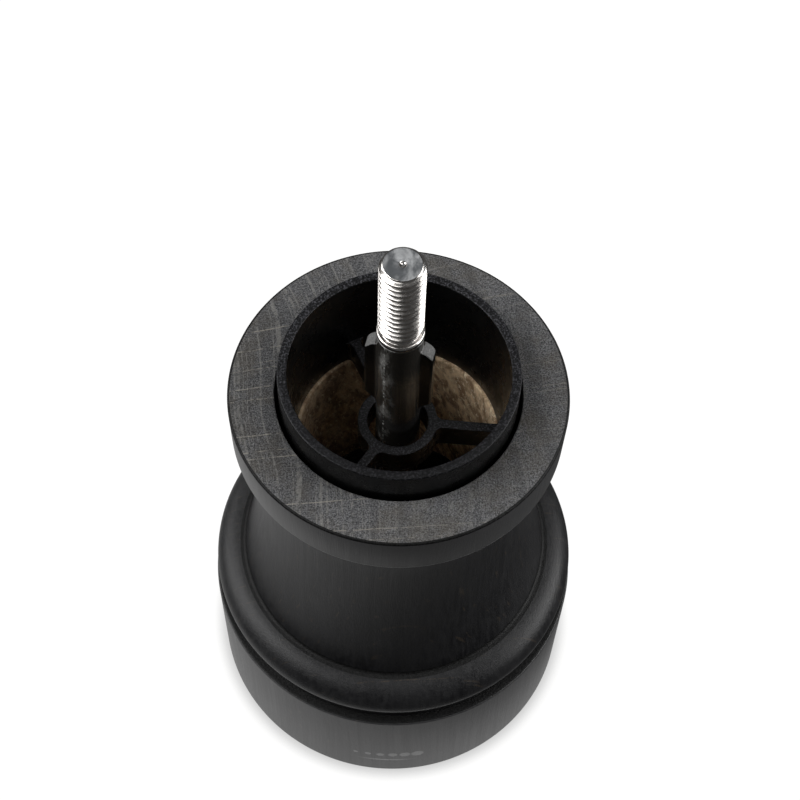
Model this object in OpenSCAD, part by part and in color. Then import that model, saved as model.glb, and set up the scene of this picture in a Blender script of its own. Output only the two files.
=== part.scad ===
// Hand pepper mill, short spool-shaped model, with its head off for filling.
// Frame: +Z up along the mill's axis, origin at the centre of the base's resting face.
// The shaft, its stud and the cone burr turn together in a bearing bridge under the burrs.
// Turning the base band turns a cam ring, which lowers the bridge and opens the burrs.
// At rest the mill is at its finest setting, with the bridge at the top of its travel.

/* [Body] */
// Height of the wooden top face above the table
body_h = 74.6; // [74:0.1:78]
// Diameter of the rim band round the top
rim_d = 46.4; // [45.6:0.1:47.4]
// Height of the rim band
rim_h = 7; // [5:0.1:8]
// Diameter at the narrowest part of the waist
waist_d = 39.6; // [39:0.1:41]
// Height of the narrowest part of the waist above the table
waist_z = 57; // [50:0.5:60]
// Diameter of the bead above the groove
bead_d = 56; // [55.6:0.1:56.4]
// Height of the bead
bead_h = 4.3; // [4:0.1:4.6]
// Diameter of the crease where the waist meets the bead
crease_d = 46.8; // [46:0.1:48]
// Bore of the hopper through the wood
hopper_d = 28; // [27:0.1:28.4]

/* [Base] */
// Diameter of the base band that sets the grind
band_d = 56.8; // [56.4:0.1:57.4]
// Height of the base band
band_h = 21.75; // [21.5:0.05:21.8]
// Height of the groove between the band and the bead
groove_h = 3.85; // [3.8:0.05:4.1]
// Diameter of the black flange seen in the groove
flange_d = 54; // [53:0.1:54.6]

/* [Collar] */
// Outer diameter of the spigot that the head turns on
spigot_d = 32.6; // [32.4:0.1:32.8]
// Height of the spigot above the wood
spigot_h = 4.9; // [4:0.1:6]
// Bore of the collar at its mouth
mouth_d = 30; // [29.6:0.1:30.2]
// Outer diameter of the guide ring round the shaft
guide_od = 11.2; // [10.6:0.1:11.4]
// Bore of the guide ring
guide_id = 8.4; // [8:0.1:8.8]
// Angle of the first of the three spider arms
spider_angle = -3; // [-30:0.5:30]

/* [Shaft] */
// Diameter of the round stem
stem_d = 6.2; // [6.2:0.1:6.6]
// Width over the two driving wings
wing_span = 9.2; // [8.8:0.1:10]
// Thickness of a wing
wing_t = 2; // [1.8:0.1:2.6]
// Angle of the wings
wing_angle = -12; // [-90:1:90]
// Nominal diameter of the stud's thread, drawn plain
thread_d = 6; // [5:0.5:6]
// Length of the stud's thread
thread_l = 13; // [10:0.5:14]

/* [Burrs and adjuster] */
// Outer diameter of the ring burr
ring_burr_d = 29; // [28.8:0.1:29.1]
// Teeth in the fine stage of both burrs
fine_teeth = 30; // [24:1:36]
// Flutes in the coarse stage of the cone burr
coarse_flutes = 7; // [5:1:9]
// Number of grind settings
settings = 6; // [3:1:7]
// Turn of the base band from the finest to the coarsest setting
adjust_angle = 100; // [90:1:100]
// Drop of the bridge over that turn
adjust_drop = 1.2; // [0.8:0.1:1.2]

/* [Hidden] */
$fn = 96;
eps = 0.01;

// Heights of the body and its groove
body_z = band_h + groove_h;
crease_z = body_z + bead_h;
edge = 0.4;

// Collar and its seat in the wood
collar_z = 62;
collar_top = body_h + spigot_h;
seat_r = 16.8;
seat_h = 3;
seat_gap = 0.03;
relief_r = 16.1;
collar_low_r = 14.4;
spider_top = 66.4;
arm_w = 1.4;
arm_fillet = 1.6;

// Housing: flange, barrel and skirt, with the spring bar across the barrel's top
flange_z = band_h + 0.3;
flange_r = flange_d / 2;
barrel_r = 15.4;
barrel_top = 34.4;
recess_r = barrel_r + 0.05;
skirt_r = 20.4;
skirt_low_r = 19.8;
skirt_lip_r = 20.1;
skirt_z = 1.2;
skirt_step_z = 4.2;
funnel_top_r = hopper_d / 2;
funnel_low_r = 11.8;
funnel_h = 7.4;
burr_seat_r = ring_burr_d / 2 + 0.02;
bar_t = 1.2;
bar_z = barrel_top + 0.05 - bar_t;
bar_w = 5;
bar_r = 15.2;
bar_hub_r = 5.2;
bar_bore_r = 3.5;
wood_screw_at = 17.45;
wood_screw_head_r = 2;
wood_screw_r = 1.1;
wood_screw_l = 8.4;
wood_screw_sink = 1.2;
wood_screw_angle = 30;

// Burrs
ring_burr_z = 13.2;
ring_burr_top = 24.6;
fine_top = 17.2;
cone_z = 12.9;
cone_top = 25.4;
circlip_z = 11.9;
circlip_t = 1.2;
circlip_r = 15.1;
circlip_in_r = 13.1;

// Bearing bridge, its bush and the follower pins
bridge_z = 7;
bridge_t = 3;
bridge_angle = 90;
bridge_r = 20.2;
bridge_arm_w = 4;
slot_w = bridge_arm_w + 0.6;
slot_top = bridge_z + bridge_t + 0.6;
hub_r = 5.6;
hub_z = 5.5;
hub_top = 11.5;
bush_r = 3.9;
bush_top = 12;
journal_r = 2.5;
journal_z = 5.2;
pin_r = 0.9;
pin_z = bridge_z + 1.1;
pin_in = 15;
pin_out = 22;

// Cam ring
cam_bore_r = skirt_r + 0.08;
cam_in_r = 22.4;
cam_r = 24;
cam_z = 1.2;
cam_top = band_h - 0.4;
cam_flange_r = 26.8;
cam_flange_t = 1.7;
shelf_z = 3.4;
shelf_t = 1.2;
bearing_z = 13;
ramp_top = pin_z - pin_r - 0.08;
ramp_low_z = shelf_z + shelf_t / 2;
ramp_pad = 3;
ramp_steps = 26;
stop_h = 2.4;
stop_from = 4.2;
clip_z = 1.9;
clip_t = 1.3;
clip_r = 21.9;
band_screw_at = 25.4;
band_screw_angle = 60;

// Click ball under the flange
ball_at = 22.3;
ball_r = 0.75;
track_r = 1.05;
track_depth = 0.4;
notch_r = 0.9;
notch_depth = 0.7;
ball_z = flange_z + track_depth - ball_r - 0.1;
pocket_z = 14;
pocket_r = 0.85;

// Shaft stack
hex_af = 5.3;
hex_top = 25.5;
shoulder_r = 4.7;
shoulder_t = 1.2;
stem_r = stem_d / 2;
stem_top = 72;
tongue_w = 2.4;
tongue_h = 2.5;
tongue_top = stem_top + tongue_h;
sleeve_top = 88.9;
wing_z = 72.6;
wing_taper = 1.6;
wing_top = 86.6;
wing_corner = 2;
seat_washer_t = 0.7;
end_washer_t = 0.8;
end_head_t = 1.6;
end_head_r = 2.6;
end_screw_r = 1.22;
end_screw_l = 11;

// Springs
spring_wire = 0.7;
spring_r = 4.3;
spring_turns = 4;
click_wire = 0.25;
click_r = 0.55;
click_turns = 7;

// Stud
thread_r = thread_d / 2;
shank_r = 1.5;
shank_z = 62;
stud_flange_r = 3.15;
stud_flange_t = 0.9;
neck_t = 0.4;
thread_z = sleeve_top + stud_flange_t + neck_t;
stud_top = thread_z + thread_l + 0.9;
tip_r = 2.4;
dimple_r = 0.7;

stained = "#2b2b2d";
plastic = "#141416";
steel = "#b9babd";
hardened = "#6f7175";
bronze = "#a67c45";
nylon = "#d8d6cc";

// Ring between two radii, from z up by h
module ring(r_out, r_in, z, h) {
    translate([0, 0, z]) difference() {
        cylinder(r = r_out, h = h);
        translate([0, 0, -1]) cylinder(r = r_in, h = h + 2);
    }
}

// Cylinder from height z up to height top
module post(r, z, top) {
    translate([0, 0, z]) cylinder(r = r, h = top - z);
}

// Three copies of the children at equal angles
module around3(from = 0) {
    for (i = [0 : 2]) rotate([0, 0, from + i * 120]) children();
}

// Points of an elliptical arc about (cx, cz) from angle a to angle b
function arc(cx, cz, rx, rz, a, b, n) =
    [for (i = [0 : n]) let (t = a + (b - a) * i / n) [cx + rx * cos(t), cz + rz * sin(t)]];

// The waist is one long arc, upright at waist_z, with a short flare up to the rim
waist_r = waist_d / 2;
crease_r = crease_d / 2;
rim_r = rim_d / 2;
bead_r = bead_d / 2;
rim_low = body_h - rim_h;
flare_r = rim_r - 1.4;
cove_r = (pow(waist_z - crease_z, 2) + pow(crease_r - waist_r, 2)) / (2 * (crease_r - waist_r));
cove_a = asin((waist_z - crease_z) / cove_r);

function body_outline() = concat(
    [[funnel_top_r, body_z], [bead_r - edge, body_z], [bead_r, body_z + edge]],
    arc(crease_r, body_z + edge, bead_r - crease_r, bead_h - edge, 8, 90, 10),
    arc(waist_r + cove_r, waist_z, cove_r, cove_r, 180 + cove_a, 180, 14),
    arc(flare_r, waist_z, waist_r - flare_r, rim_low - edge - waist_z, 0, 90, 8),
    [[rim_r - edge, rim_low - edge], [rim_r, rim_low], [rim_r, body_h - edge],
     [rim_r - edge, body_h], [funnel_top_r, body_h]]
);

// Turned beech body with its collar seat, hopper bore and mechanism recess
module wood_body() {
    color(stained) difference() {
        rotate_extrude() polygon(body_outline());
        post(seat_r, collar_z, body_h + 1);
        post(recess_r, body_z - 1, barrel_top + 0.1);
        around3(wood_screw_angle) translate([wood_screw_at, 0, 0])
            post(wood_screw_r, body_z - 1, flange_z + wood_screw_sink + wood_screw_l + 0.2);
    }
}

// Flat arm from r_in to r_out with a flare of size fillet at both ends
module spider_arm(r_in, r_out, w, fillet) {
    half = w / 2;
    for (end = [[r_in, 1], [r_out, -1]])
        polygon([
            [end[0], -half - fillet], [end[0] + end[1] * fillet * 0.4, -half - fillet * 0.3],
            [end[0] + end[1] * fillet, -half], [end[0] + end[1] * fillet, half],
            [end[0] + end[1] * fillet * 0.4, half + fillet * 0.3], [end[0], half + fillet]
        ]);
    translate([r_in, -half]) square([r_out - r_in, w]);
}

// Black collar: spigot for the head, mouth, and a spider with the guide ring
module filler_collar() {
    spigot_r = spigot_d / 2;
    mouth_r = mouth_d / 2;
    low = collar_z;
    color(plastic) union() {
        rotate_extrude() polygon([
            [collar_low_r, low], [seat_r - seat_gap, low], [seat_r - seat_gap, low + seat_h],
            [relief_r, low + seat_h + 0.6], [relief_r, body_h], [spigot_r, body_h],
            [spigot_r, collar_top - 0.25], [spigot_r - 0.25, collar_top],
            [mouth_r + 0.2, collar_top], [mouth_r, collar_top - 0.2]
        ]);
        ring(guide_od / 2, guide_id / 2, low, spider_top - low);
        around3(spider_angle) translate([0, 0, low]) linear_extrude(spider_top - low)
            spider_arm(guide_od / 2 - 0.3, collar_low_r + 0.4, arm_w, arm_fillet);
    }
}

// Fixed housing: flange in the groove, barrel in the wood, skirt that the cam ring turns on
module mechanism_housing() {
    color(plastic) difference() {
        union() {
            post(flange_r, flange_z, body_z);
            post(barrel_r, body_z - 1, barrel_top);
            post(skirt_lip_r, skirt_z, clip_z - 0.05);
            post(skirt_low_r, skirt_z, skirt_step_z + 1);
            post(skirt_r, skirt_step_z, flange_z + 1);
        }
        funnel();
        post(burr_seat_r, skirt_z - 1, ring_burr_top);
        post(circlip_r + 0.05, circlip_z - 0.05, circlip_z + circlip_t + 0.05);
        around3(bridge_angle) translate([0, -slot_w / 2, 0]) cube([skirt_r + 1, slot_w, slot_top]);
        around3(wood_screw_angle) translate([wood_screw_at, 0, 0]) wood_screw_hole();
        click_track();
        bar_notches();
    }
}

// Two notches across the barrel's top edge
module bar_notches() {
    notch_w = bar_w + 0.2;
    rotate([0, 0, spider_angle]) translate([-barrel_r - 1, -notch_w / 2, bar_z - 0.05])
        cube([2 * barrel_r + 2, notch_w, bar_t + 1]);
}

// Steel bar in two notches of the barrel's top, under the wood's shoulder: the spring's upper seat
module spring_bar() {
    color(steel) translate([0, 0, bar_z]) rotate([0, 0, spider_angle]) difference() {
        union() {
            cylinder(r = bar_hub_r, h = bar_t);
            translate([-bar_r, -bar_w / 2, 0]) cube([2 * bar_r, bar_w, bar_t]);
        }
        translate([0, 0, -1]) cylinder(r = bar_bore_r, h = bar_t + 2);
    }
}

// Space inside the barrel that feeds the burrs
module funnel() {
    rotate_extrude() polygon([
        [0, ring_burr_top - 1], [funnel_low_r, ring_burr_top - 1], [funnel_low_r, ring_burr_top + 0.6],
        [funnel_top_r, ring_burr_top + funnel_h], [funnel_top_r, barrel_top + 1], [0, barrel_top + 1]
    ]);
}

// Access channel up the skirt, countersink, and clearance hole through the flange
module wood_screw_hole() {
    seat_z = flange_z + wood_screw_sink;
    sink_h = wood_screw_head_r - wood_screw_r + 0.1;
    post(wood_screw_head_r + 0.1, 0, seat_z);
    translate([0, 0, seat_z - 0.05])
        cylinder(r1 = wood_screw_head_r + 0.08, r2 = wood_screw_r + 0.05, h = sink_h);
    post(wood_screw_r + 0.15, flange_z, body_z + 1);
}

// Running track and notches of the click ball, in the flange's underside
module click_track() {
    ring(ball_at + track_r, ball_at - track_r, flange_z - 1, 1 + track_depth);
    for (i = [0 : settings - 1]) rotate([0, 0, i * adjust_angle / (settings - 1)])
        translate([ball_at, 0, 0]) post(notch_r, flange_z, flange_z + notch_depth);
}

// Countersunk screw, head down on z = 0 and point up, with a cross recess
module screw(head_r, shank, length) {
    point = 2 * shank;
    difference() {
        union() {
            cylinder(r1 = head_r, r2 = shank, h = head_r - shank, $fn = 32);
            cylinder(r = shank, h = length - point, $fn = 32);
            translate([0, 0, length - point]) cylinder(r1 = shank, r2 = 0.1, h = point, $fn = 32);
        }
        for (a = [0, 90]) rotate([0, 0, a])
            translate([-head_r * 0.6, -head_r * 0.1, -1]) cube([head_r * 1.2, head_r * 0.2, 1.5]);
    }
}

// Three screws that hold the housing to the wood
module housing_screws() {
    color(steel) around3(wood_screw_angle) translate([wood_screw_at, 0, flange_z + wood_screw_sink])
        screw(wood_screw_head_r, wood_screw_r, wood_screw_l);
}

// Flat star of n teeth: crest is the share of each tooth at full radius
function star(n, r_crest, r_root, crest) = [for (i = [0 : n - 1], k = [0 : 3])
    let (a = 360 / n * (i + [0, crest, crest + 0.12, 0.94][k]), r = [r_crest, r_crest, r_root, r_root][k])
        [r * cos(a), r * sin(a)]];

// Toothed frustum from z to top, whose radius grows by the factor growth
module toothed(n, r, depth, crest, z, top, growth, twist, slices) {
    translate([0, 0, z]) linear_extrude(height = top - z, scale = growth, twist = twist, slices = slices)
        polygon(star(n, r, r - depth, crest));
}

// Fixed burr: toothed throat above, fine stage below
module ring_burr() {
    color(hardened) difference() {
        post(ring_burr_d / 2, ring_burr_z, ring_burr_top);
        toothed(fine_teeth, 12.2, 0.8, 0.5, ring_burr_z - 1, fine_top + eps, 0.943, -8, 2);
        toothed(14, 11.2, 0.9, 0.5, fine_top, ring_burr_top + 1, 1.045, -20, 4);
    }
}

// Turning burr: fine stage below, fluted coarse stage above, hexagon for the shaft
module cone_burr() {
    color(hardened) difference() {
        union() {
            toothed(fine_teeth, 10.95, 0.7, 0.3, cone_z, fine_top, 0.948, 8, 2);
            toothed(coarse_flutes, 9.2, 2, 0.3, fine_top - eps, cone_top, 0.63, 70, 8);
        }
        translate([0, 0, cone_z - 1]) cylinder(r = (hex_af / 2 + 0.03) / cos(30), h = 20, $fn = 6);
    }
}

// Snap ring under the ring burr, with a gap and an eye at each end
module burr_circlip() {
    color(steel) rotate([0, 0, wood_screw_angle]) difference() {
        ring(circlip_r, circlip_in_r, circlip_z, circlip_t);
        translate([circlip_in_r - 1, -2, circlip_z - 1]) cube([4, 4, circlip_t + 2]);
        for (a = [-14, 14]) rotate([0, 0, a]) translate([(circlip_r + circlip_in_r) / 2, 0, 0])
            post(0.5, circlip_z - 1, circlip_z + circlip_t + 1);
    }
}

// Snap ring round the foot of the skirt, notched where the bridge's arms pass
module cam_clip_ring() {
    color(steel) difference() {
        ring(clip_r, skirt_low_r, clip_z, clip_t);
        around3(bridge_angle) translate([skirt_low_r - 1, -slot_w / 2, clip_z - 1])
            cube([bridge_r + 1.1 - skirt_low_r, slot_w, clip_t + 2]);
    }
}

// Coil of round wire about +Z: its wire's centre runs from z = 0 to h
module coil(r, wire, h, turns, steps_a_turn, sides) {
    steps = turns * steps_a_turn;
    points = [for (i = [0 : steps], k = [0 : sides - 1])
        let (a = 360 * i / steps_a_turn, b = 360 * k / sides, q = r + wire / 2 * cos(b))
            [q * cos(a), q * sin(a), h * i / steps + wire / 2 * sin(b)]];
    walls = [for (i = [0 : steps - 1], k = [0 : sides - 1])
        let (p = i * sides, q = p + sides, m = (k + 1) % sides) [p + k, q + k, q + m, p + m]];
    ends = [[for (k = [0 : sides - 1]) k], [for (k = [sides - 1 : -1 : 0]) steps * sides + k]];
    polyhedron(points, concat(walls, ends), convexity = 10);
}

// Compression spring that keeps the shaft and the bridge down on the cams
module burr_spring() {
    low = hex_top + shoulder_t + seat_washer_t + spring_wire / 2 + 0.05;
    color(steel) translate([0, 0, low])
        coil(spring_r, spring_wire, bar_z - spring_wire / 2 - 0.05 - low, spring_turns, 20, 8);
}

// Wooden band at the foot, turned by hand to set the grind
module base_band() {
    band_r = band_d / 2;
    flange_top = cam_z + cam_flange_t;
    color(stained) difference() {
        rotate_extrude() polygon(concat(
            [[cam_flange_r, 0]],
            arc(band_r - 0.5, 0.5, 0.5, 0.5, -90, 0, 4),
            [[band_r, band_h - edge], [band_r - edge, band_h], [cam_r, band_h],
             [cam_r, flange_top], [cam_flange_r, flange_top]]
        ));
        around3(band_screw_angle) translate([band_screw_at, 0, 0]) post(0.7, flange_top - 1, 8.2);
    }
}

// Height of the cam's top at an angle measured from its own follower at rest
function ramp_h(a) = ramp_top - adjust_drop * min(1, max(0, -a / adjust_angle));

// One cam: a ring sector whose top follows ramp_h
module ramp() {
    low = -adjust_angle - ramp_pad - 1;
    span = ramp_pad - low;
    r_in = cam_bore_r - 0.3;
    r_out = cam_in_r + 0.9;
    points = [for (i = [0 : ramp_steps]) let (a = low + span * i / ramp_steps)
        each [for (c = [[r_in, ramp_low_z], [r_out, ramp_low_z], [r_out, ramp_h(a)], [r_in, ramp_h(a)]])
            [c[0] * cos(a), c[0] * sin(a), c[1]]]];
    walls = [for (i = [0 : ramp_steps - 1], k = [0 : 3])
        let (p = 4 * i, q = p + 4, m = (k + 1) % 4) [p + k, p + m, q + m, q + k]];
    last = 4 * ramp_steps;
    ends = [[3, 2, 1, 0], [last, last + 1, last + 2, last + 3]];
    polyhedron(points, concat(walls, ends), convexity = 6);
}

// End stop between two cams
module stop_block() {
    angle = 120 - adjust_angle - ramp_pad - stop_from;
    rotate_extrude(angle = angle) translate([cam_bore_r - 0.4, ramp_low_z])
        square([cam_in_r - cam_bore_r + 1.1, ramp_top + stop_h - ramp_low_z]);
}

// Black ring fixed in the base band: foot flange, three cams with stops, bearing, click pocket
module cam_ring() {
    color(plastic) difference() {
        union() {
            ring(cam_r, cam_in_r, cam_z, cam_top - cam_z);
            ring(cam_flange_r, cam_in_r, cam_z, cam_flange_t);
            ring(cam_in_r + 0.5, cam_bore_r - 0.5, shelf_z, shelf_t);
            ring(cam_in_r + 0.5, cam_bore_r - 0.5, bearing_z, cam_top - bearing_z);
            around3(bridge_angle) ramp();
            around3(bridge_angle + stop_from) stop_block();
        }
        post(cam_bore_r, cam_z - 1, cam_top + 1);
        translate([ball_at, 0, 0]) post(pocket_r, pocket_z, cam_top + 1);
        around3(bridge_angle) translate([cam_in_r - 0.2, 0, pin_z]) rotate([0, 90, 0])
            cylinder(r = pin_r + 0.05, h = 4);
        around3(band_screw_angle) translate([band_screw_at, 0, cam_z - eps])
            cylinder(r1 = 1.33, r2 = 0.73, h = 0.6);
        around3(band_screw_angle) translate([band_screw_at, 0, 0]) post(0.75, cam_z, cam_z + 3);
    }
}

// Three screws from the cam ring's foot flange up into the band
module band_screws() {
    color(steel) around3(band_screw_angle) translate([band_screw_at, 0, cam_z + 0.02]) screw(1.3, 0.7, 6.8);
}

// Ball that clicks into the notches under the flange, and its spring
module detent_ball() {
    color(steel) translate([ball_at, 0, ball_z]) sphere(r = ball_r, $fn = 32);
}

module detent_spring() {
    low = pocket_z + click_wire / 2 + 0.05;
    color(steel) translate([ball_at, 0, low])
        coil(click_r, click_wire, ball_z - ball_r - click_wire / 2 - 0.05 - low, click_turns, 12, 6);
}

// Bridge under the burrs: hub with the bearing, three arms out through the skirt's slots
module bearing_bridge() {
    color(plastic) difference() {
        union() {
            post(hub_r, hub_z, hub_top);
            around3(bridge_angle) translate([hub_r - 1, -bridge_arm_w / 2, bridge_z])
                cube([bridge_r - hub_r + 1, bridge_arm_w, bridge_t]);
        }
        post(bush_r, hub_z - 1, hub_top + 1);
        around3(bridge_angle) translate([pin_in, 0, pin_z]) rotate([0, 90, 0])
            cylinder(r = pin_r, h = bridge_r, $fn = 32);
    }
}

// Bronze bush pressed in the bridge's hub
module bearing_bush() {
    color(bronze) ring(bush_r, journal_r + 0.05, hub_z, bush_top - hub_z);
}

// Three steel pins in the arm ends that ride on the cams
module follower_pins() {
    color(steel) around3(bridge_angle) translate([pin_in, 0, pin_z]) rotate([0, 90, 0])
        cylinder(r = pin_r, h = pin_out - pin_in, $fn = 32);
}

// Nylon seat between the spring, which stands still, and the turning shoulder
module spring_seat() {
    color(nylon) ring(5, stem_r + 0.2, hex_top + shoulder_t + 0.03, seat_washer_t - 0.03);
}

// Plastic shaft: journal, hexagon, shoulder, round stem, and a tongue that turns the sleeve
module drive_shaft() {
    hex_h = hex_top - cone_z + 0.5;
    color(plastic) difference() {
        union() {
            post(journal_r, journal_z, cone_z + 1);
            translate([0, 0, cone_z]) cylinder(r = hex_af / 2 / cos(30), h = hex_h, $fn = 6);
            post(shoulder_r, hex_top, hex_top + shoulder_t);
            post(stem_r, hex_top + 1, tongue_top);
        }
        post(end_screw_r, journal_z - 1, journal_z + end_screw_l);
        post(shank_r, shank_z, tongue_top + 1);
        for (side = [0, 180]) rotate([0, 0, wing_angle + side])
            translate([-5, tongue_w / 2, stem_top]) cube([10, 5, tongue_h + 1]);
    }
}

// Side view of one wing: sloping lower corner, rounded top corner
module wing() {
    reach = wing_span / 2;
    root = 2;
    foot = [[root, wing_z], [stem_r - 0.2, wing_z], [reach, wing_z + wing_taper]];
    corner = arc(reach - wing_corner, wing_top - wing_corner, wing_corner, wing_corner, 0, 90, 6);
    rotate([90, 0, 0]) translate([0, 0, -wing_t / 2]) linear_extrude(wing_t)
        polygon(concat(foot, corner, [[root, wing_top]]));
}

// Sleeve on the stem's top with the two wings that the head drives
module wing_sleeve() {
    color(plastic) difference() {
        union() {
            post(stem_r, stem_top, sleeve_top);
            rotate([0, 0, wing_angle]) wing();
            rotate([0, 0, wing_angle + 180]) wing();
        }
        post(shank_r, stem_top - 1, sleeve_top + 1);
        rotate([0, 0, wing_angle]) translate([-5, -tongue_w / 2, stem_top - 1])
            cube([10, tongue_w, tongue_h + 1]);
    }
}

// Stainless stud: long shank through the sleeve into the stem, flange, thread, centre mark
module threaded_stud() {
    flange_top = sleeve_top + stud_flange_t;
    dimple_h = dimple_r / 2;
    color(steel) difference() {
        rotate_extrude() polygon([
            [0, shank_z + 0.2], [shank_r - 0.3, shank_z + 0.2], [shank_r, shank_z + 0.5],
            [shank_r, sleeve_top], [stud_flange_r - 0.3, sleeve_top], [stud_flange_r, sleeve_top + 0.3],
            [stud_flange_r, flange_top - 0.3], [stud_flange_r - 0.3, flange_top],
            [tip_r, flange_top], [tip_r, thread_z - 0.2], [thread_r, thread_z],
            [thread_r, thread_z + thread_l], [tip_r, stud_top], [0, stud_top]
        ]);
        translate([0, 0, stud_top - dimple_h])
            cylinder(r1 = 0, r2 = dimple_r + eps, h = dimple_h + eps);
    }
}

// Washer between the cone burr and the bush
module thrust_washer() {
    color(steel) ring(5.4, journal_r + 0.02, bush_top + 0.05, cone_z - bush_top - 0.05);
}

// Washer and screw that hold the shaft down in the bridge
module end_washer() {
    color(steel) ring(4.4, end_screw_r + 0.1, journal_z - end_washer_t, end_washer_t);
}

module end_screw() {
    head_z = journal_z - end_washer_t - end_head_t;
    color(steel) difference() {
        union() {
            translate([0, 0, head_z]) cylinder(r1 = end_head_r - 0.4, r2 = end_head_r, h = 0.5);
            post(end_head_r, head_z + 0.5, journal_z - end_washer_t);
            post(end_screw_r, head_z + 1, journal_z + end_screw_l - 0.5);
        }
        for (a = [0, 90]) rotate([0, 0, a]) translate([-1.5, -0.35, head_z - 1]) cube([3, 0.7, 1.9]);
    }
}

wood_body();
filler_collar();
mechanism_housing();
housing_screws();
ring_burr();
burr_circlip();
cam_clip_ring();
spring_bar();
burr_spring();
base_band();
cam_ring();
band_screws();
detent_ball();
detent_spring();
bearing_bridge();
bearing_bush();
follower_pins();
spring_seat();
drive_shaft();
wing_sleeve();
threaded_stud();
cone_burr();
thrust_washer();
end_washer();
end_screw();
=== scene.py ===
"""Looks of the pepper mill: turned wood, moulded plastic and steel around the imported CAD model.

Shared frame: metres, +Z up along the mill's axis, base band resting at z = 0, front towards -Y.
Shapes are worked out in millimetres and scaled as their meshes are made.
"""

import math

import bmesh
import bpy
from mathutils import Matrix, Vector


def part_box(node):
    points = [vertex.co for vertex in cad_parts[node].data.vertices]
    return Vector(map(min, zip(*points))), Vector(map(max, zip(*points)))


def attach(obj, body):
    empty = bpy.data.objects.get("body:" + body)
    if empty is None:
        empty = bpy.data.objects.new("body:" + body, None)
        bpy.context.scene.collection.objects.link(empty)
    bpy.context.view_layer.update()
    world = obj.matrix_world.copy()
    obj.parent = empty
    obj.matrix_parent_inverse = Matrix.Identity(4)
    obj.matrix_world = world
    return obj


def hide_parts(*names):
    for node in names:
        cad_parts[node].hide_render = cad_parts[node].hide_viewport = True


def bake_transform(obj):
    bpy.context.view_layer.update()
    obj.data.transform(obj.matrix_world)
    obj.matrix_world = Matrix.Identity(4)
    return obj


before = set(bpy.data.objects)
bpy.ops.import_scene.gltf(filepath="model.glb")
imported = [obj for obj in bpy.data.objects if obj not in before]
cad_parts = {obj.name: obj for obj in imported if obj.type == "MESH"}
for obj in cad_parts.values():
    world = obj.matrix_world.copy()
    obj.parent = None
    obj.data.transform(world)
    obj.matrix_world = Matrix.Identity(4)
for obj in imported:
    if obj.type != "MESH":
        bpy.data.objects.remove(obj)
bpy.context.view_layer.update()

MM = 0.001


def box_mm(node):
    """Lowest and highest corners of a CAD node, in millimetres."""
    low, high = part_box(node)
    return low / MM, high / MM


WOOD_LOW, WOOD_HIGH = box_mm("wood_body")
BAND_HIGH = box_mm("base_band")[1]
COLLAR_LOW, COLLAR_HIGH = box_mm("filler_collar")
SLEEVE_LOW, SLEEVE_HIGH = box_mm("wing_sleeve")
STUD_LOW, STUD_HIGH = box_mm("threaded_stud")
SPRING_LOW, SPRING_HIGH = box_mm("burr_spring")

# ---------------------------------------------------------------- mesh helpers

# Points nearer than this, in millimetres, become one
WELD = 1e-5
# Largest share of a side that one rounded corner may use
CORNER_SHARE = 0.49


def arc(cx, cy, rx, ry, start, end, steps):
    """Points of an elliptical arc about (cx, cy), angles in degrees."""
    angles = [math.radians(start + (end - start) * i / steps) for i in range(steps + 1)]
    return [(cx + rx * math.cos(a), cy + ry * math.sin(a)) for a in angles]


def circle(cx, cy, radius, count):
    """Closed round outline of count points about (cx, cy)."""
    return arc(cx, cy, radius, radius, 0, 360 - 360 / count, count - 1)


def rounded(corners, steps=5):
    """Closed outline through (x, y) or (x, y, radius) corners, each rounded by its radius."""
    points = []
    for i, corner in enumerate(corners):
        tip = Vector(corner[:2])
        radius = corner[2] if len(corner) > 2 else 0
        if not radius:
            points.append(tuple(tip))
            continue
        back = Vector(corners[i - 1][:2]) - tip
        ahead = Vector(corners[(i + 1) % len(corners)][:2]) - tip
        half = back.angle(ahead) / 2
        reach = min(radius / math.tan(half), CORNER_SHARE * back.length, CORNER_SHARE * ahead.length)
        radius = reach * math.tan(half)
        centre = tip + (back.normalized() + ahead.normalized()).normalized() * (radius / math.sin(half))
        start = tip + back.normalized() * reach - centre
        end = tip + ahead.normalized() * reach - centre
        first = math.atan2(start.y, start.x)
        turn = (math.atan2(end.y, end.x) - first + math.pi) % (2 * math.pi) - math.pi
        for k in range(steps + 1):
            angle = first + turn * k / steps
            points.append((centre.x + radius * math.cos(angle), centre.y + radius * math.sin(angle)))
    return points


def full_turn(count):
    """Equal steps round the axis, in radians."""
    return [2 * math.pi * k / count for k in range(count)]


def ring_of(radii, turns, z):
    """Ring of points at height z, with one radius for each turn."""
    return [(r * math.cos(t), r * math.sin(t), z) for r, t in zip(radii, turns)]


def add_object(name, data):
    """New object in the scene that holds a mesh, a light or a camera."""
    made = bpy.data.objects.new(name, data)
    bpy.context.scene.collection.objects.link(made)
    return made


def finish_mesh(bm, name, sharp=38):
    """Turns a bmesh in millimetres into a smooth-shaded object in metres, creased above sharp degrees."""
    bmesh.ops.remove_doubles(bm, verts=bm.verts, dist=WELD)
    bmesh.ops.recalc_face_normals(bm, faces=bm.faces)
    mesh = bpy.data.meshes.new(name)
    bm.to_mesh(mesh)
    bm.free()
    mesh.transform(Matrix.Scale(MM, 4))
    mesh.shade_smooth()
    mesh.set_sharp_from_angle(angle=math.radians(sharp))
    return add_object(name, mesh)


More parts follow.
